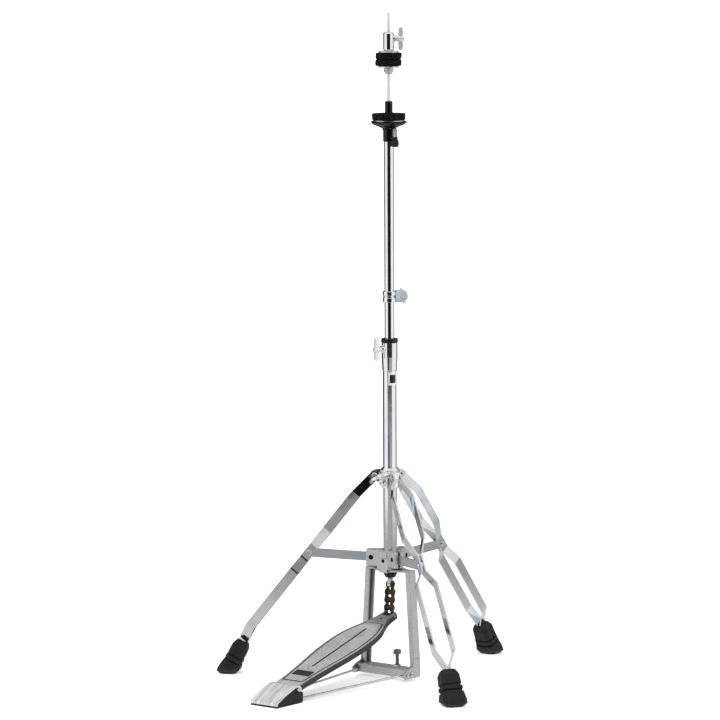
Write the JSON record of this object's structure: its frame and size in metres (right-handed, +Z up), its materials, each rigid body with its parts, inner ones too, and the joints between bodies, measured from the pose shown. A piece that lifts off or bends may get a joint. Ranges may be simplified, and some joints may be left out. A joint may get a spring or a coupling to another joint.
{
  "type": "hi-hat stand",
  "caption": "Folding tripod hi-hat cymbal stand with a chain-driven pedal, height-adjustable tube, tilting lower seat and rod clutch.",
  "frame": {"origin": "on the floor, below the pull rod's axis", "axes": "+Z up along the pull rod, heel of the pedal towards -Y, +X to the player's right"},
  "size_m": [0.5046, 0.6031, 1.0698],
  "materials": {
    "tube_chrome": "bright chrome plate on drawn steel tube",
    "cast_chrome": "chrome plate on die casting, slightly softer",
    "strip_chrome": "chrome plate on rolled strip",
    "frame_satin": "fine satin, silver",
    "hub_satin": "as-cast, tumbled",
    "board_satin": "brushed cast aluminium",
    "bright_steel": "zinc plated",
    "spring_steel": "drawn wire",
    "chain_steel": "oiled dark bronze",
    "black_oxide": "black oxide",
    "black_nylon": "moulded nylon",
    "gloss_black": "moulded, glossy",
    "knob_black": "moulded, ribbed",
    "foot_rubber": "moulded rubber",
    "heel_rubber": "moulded rubber",
    "black_felt": "pressed wool felt"
  },
  "bodies": {
    "base": {"lower_tube": "tube_chrome", "tube_socket": "cast_chrome", "socket_bush": "black_nylon", "hub_casting": "hub_satin", "hub_pins": "black_oxide", "hub_screws": "black_oxide", "hub_plug": "black_nylon", "pedal_frame": "frame_satin", "base_bridge": "frame_satin", "frame_screws": "bright_steel", "anchor_nut": "bright_steel", "heel_plate": "board_satin", "heel_block": "heel_rubber", "heel_pin": "bright_steel", "radius_rods": "bright_steel", "return_spring": "spring_steel"},
    "upper_stand": {"upper_tube": "tube_chrome", "seat_sleeve": "gloss_black", "tilt_spring": "spring_steel"},
    "height_screw": {"height_wing_screw": "cast_chrome"},
    "memory_ring": {"memory_lock": "cast_chrome"},
    "memory_screw": {"memory_wing_screw": "cast_chrome"},
    "seat": {"seat_cup": "gloss_black", "seat_washer": "bright_steel", "seat_felt": "black_felt", "seat_stem": "gloss_black"},
    "tilter": {"tilt_screw": "bright_steel", "tilt_knob": "knob_black"},
    "pull_rod": {"upper_rod": "bright_steel", "lower_rod": "bright_steel", "rod_coupler": "bright_steel", "rod_yoke": "cast_chrome"},
    "chain": {"chain_plates": "chain_steel", "chain_rollers": "chain_steel", "chain_pins": "chain_steel", "toe_pin": "bright_steel"},
    "clutch": {"clutch_body": "cast_chrome", "clutch_tube": "bright_steel", "clutch_washers": "bright_steel", "clutch_felt_upper": "black_felt", "clutch_felt_lower": "black_felt"},
    "clutch_nut": {"clutch_nut": "bright_steel"},
    "clutch_screw": {"clutch_wing_screw": "cast_chrome"},
    "pedal": {"footboard": "board_satin"},
    "collar": {"leg_collar": "cast_chrome", "collar_pins": "bright_steel"},
    "collar_screw": {"collar_wing_screw": "cast_chrome"},
    "spur": {"anchor_bolt": "bright_steel"},
    "back_leg": {"leg_back": "strip_chrome", "rivets_back": "bright_steel", "foot_back": "foot_rubber"},
    "back_stay": {"stay_back": "strip_chrome"},
    "left_leg": {"leg_left": "strip_chrome", "rivets_left": "bright_steel", "foot_left": "foot_rubber"},
    "left_stay": {"stay_left": "strip_chrome"},
    "right_leg": {"leg_right": "strip_chrome", "rivets_right": "bright_steel", "foot_right": "foot_rubber"},
    "right_stay": {"stay_right": "strip_chrome"}
  },
  "joints": [
    {"name": "pedal_press", "type": "hinge", "parent": "base", "child": "pedal", "pos_m": [0, -0.262, 0.0225], "axis": [-1, 0, 0], "range_deg": [0, 9]},
    {"name": "rod_slide", "type": "slide", "parent": "base", "child": "pull_rod", "axis": [0, 0, 1], "range_m": [-0.0412, 0], "stiffness_N_per_m": 350, "springref_m": 0.05, "deforming": ["return_spring"]},
    {"name": "chain_swing", "type": "hinge", "parent": "pull_rod", "child": "chain", "pos_m": [0, 0, 0.151], "axis": [1, 0, 0], "range_deg": [0, 10.8]},
    {"name": "height_slide", "type": "slide", "parent": "base", "child": "upper_stand", "axis": [0, 0, -1], "range_m": [-0.022, 0.057]},
    {"name": "memory_lock_slide", "type": "slide", "parent": "upper_stand", "child": "memory_ring", "axis": [0, 0, 1], "range_m": [-0.055, 0.2]},
    {"name": "height_screw_turn", "type": "hinge", "parent": "base", "child": "height_screw", "pos_m": [-0.00618, -0.01902, 0.533], "axis": [-0.309, -0.9511, 0], "range_deg": [0, 630]},
    {"name": "memory_screw_turn", "type": "hinge", "parent": "memory_ring", "child": "memory_screw", "pos_m": [0.01655, 0.01293, 0.61645], "axis": [-0.6157, 0.788, 0], "range_deg": [0, 630]},
    {"name": "tilt_screw_turn", "type": "hinge", "parent": "upper_stand", "child": "tilter", "pos_m": [0.01516, -0.00322, 0.862], "axis": [0, 0, 1], "range_deg": [0, 360]},
    {"name": "seat_tilt", "type": "hinge", "parent": "upper_stand", "child": "seat", "pos_m": [0, 0, 0.891], "axis": [-0.2079, -0.9781, 0], "range_deg": [0, 3]},
    {"name": "clutch_slide", "type": "slide", "parent": "pull_rod", "child": "clutch", "axis": [0, 0, 1], "range_m": [-0.018, 0.025]},
    {"name": "clutch_nut_turn", "type": "hinge", "parent": "clutch", "child": "clutch_nut", "pos_m": [0, 0, 0.975], "axis": [0, 0, 1], "continuous": true},
    {"name": "clutch_screw_turn", "type": "hinge", "parent": "clutch", "child": "clutch_screw", "pos_m": [0.00788, 0.00616, 1.028], "axis": [0.788, 0.6157, 0], "range_deg": [0, 630]},
    {"name": "leg_fold", "type": "slide", "parent": "base", "child": "collar", "axis": [0, 0, 1], "range_m": [0, 0.12512]},
    {"name": "collar_screw_turn", "type": "hinge", "parent": "collar", "child": "collar_screw", "pos_m": [0.00313, -0.01773, 0.33], "axis": [0.1736, -0.9848, 0], "range_deg": [0, 630]},
    {"name": "spur_slide", "type": "slide", "parent": "base", "child": "spur", "axis": [0, 0, -1], "range_m": [-0.006, 0.01]},
    {"name": "back_leg_fold", "type": "hinge", "parent": "collar", "child": "back_leg", "pos_m": [0, 0.0241, 0.3286], "axis": [-1, 0, 0], "range_deg": [0, 25.95]},
    {"name": "back_stay_fold", "type": "hinge", "parent": "base", "child": "back_stay", "pos_m": [0, 0.03, 0.1955], "axis": [1, 0, 0], "range_deg": [0, 67.32]},
    {"name": "left_leg_fold", "type": "hinge", "parent": "collar", "child": "left_leg", "pos_m": [-0.02087, -0.01205, 0.3286], "axis": [0.5, -0.866, 0], "range_deg": [0, 25.95]},
    {"name": "left_stay_fold", "type": "hinge", "parent": "base", "child": "left_stay", "pos_m": [-0.02598, -0.015, 0.1955], "axis": [-0.5, 0.866, 0], "range_deg": [0, 67.32]},
    {"name": "right_leg_fold", "type": "hinge", "parent": "collar", "child": "right_leg", "pos_m": [0.02087, -0.01205, 0.3286], "axis": [0.5, 0.866, 0], "range_deg": [0, 25.95]},
    {"name": "right_stay_fold", "type": "hinge", "parent": "base", "child": "right_stay", "pos_m": [0.02598, -0.015, 0.1955], "axis": [-0.5, -0.866, 0], "range_deg": [0, 67.32]}
  ],
  "couplings": [
    {"joint": "rod_slide", "follows": "pedal_press", "m_per_rad": -0.26165},
    {"joint": "chain_swing", "follows": "pedal_press", "ratio": 1.1922},
    {"joint": "seat_tilt", "follows": "tilt_screw_turn", "ratio": 0.0083333},
    {"joint": "back_leg_fold", "follows": "leg_fold", "rad_per_m": 3.6168},
    {"joint": "back_stay_fold", "follows": "leg_fold", "rad_per_m": 9.3877},
    {"joint": "left_leg_fold", "follows": "leg_fold", "rad_per_m": 3.6168},
    {"joint": "left_stay_fold", "follows": "leg_fold", "rad_per_m": 9.3877},
    {"joint": "right_leg_fold", "follows": "leg_fold", "rad_per_m": 3.6168},
    {"joint": "right_stay_fold", "follows": "leg_fold", "rad_per_m": 9.3877}
  ]
}
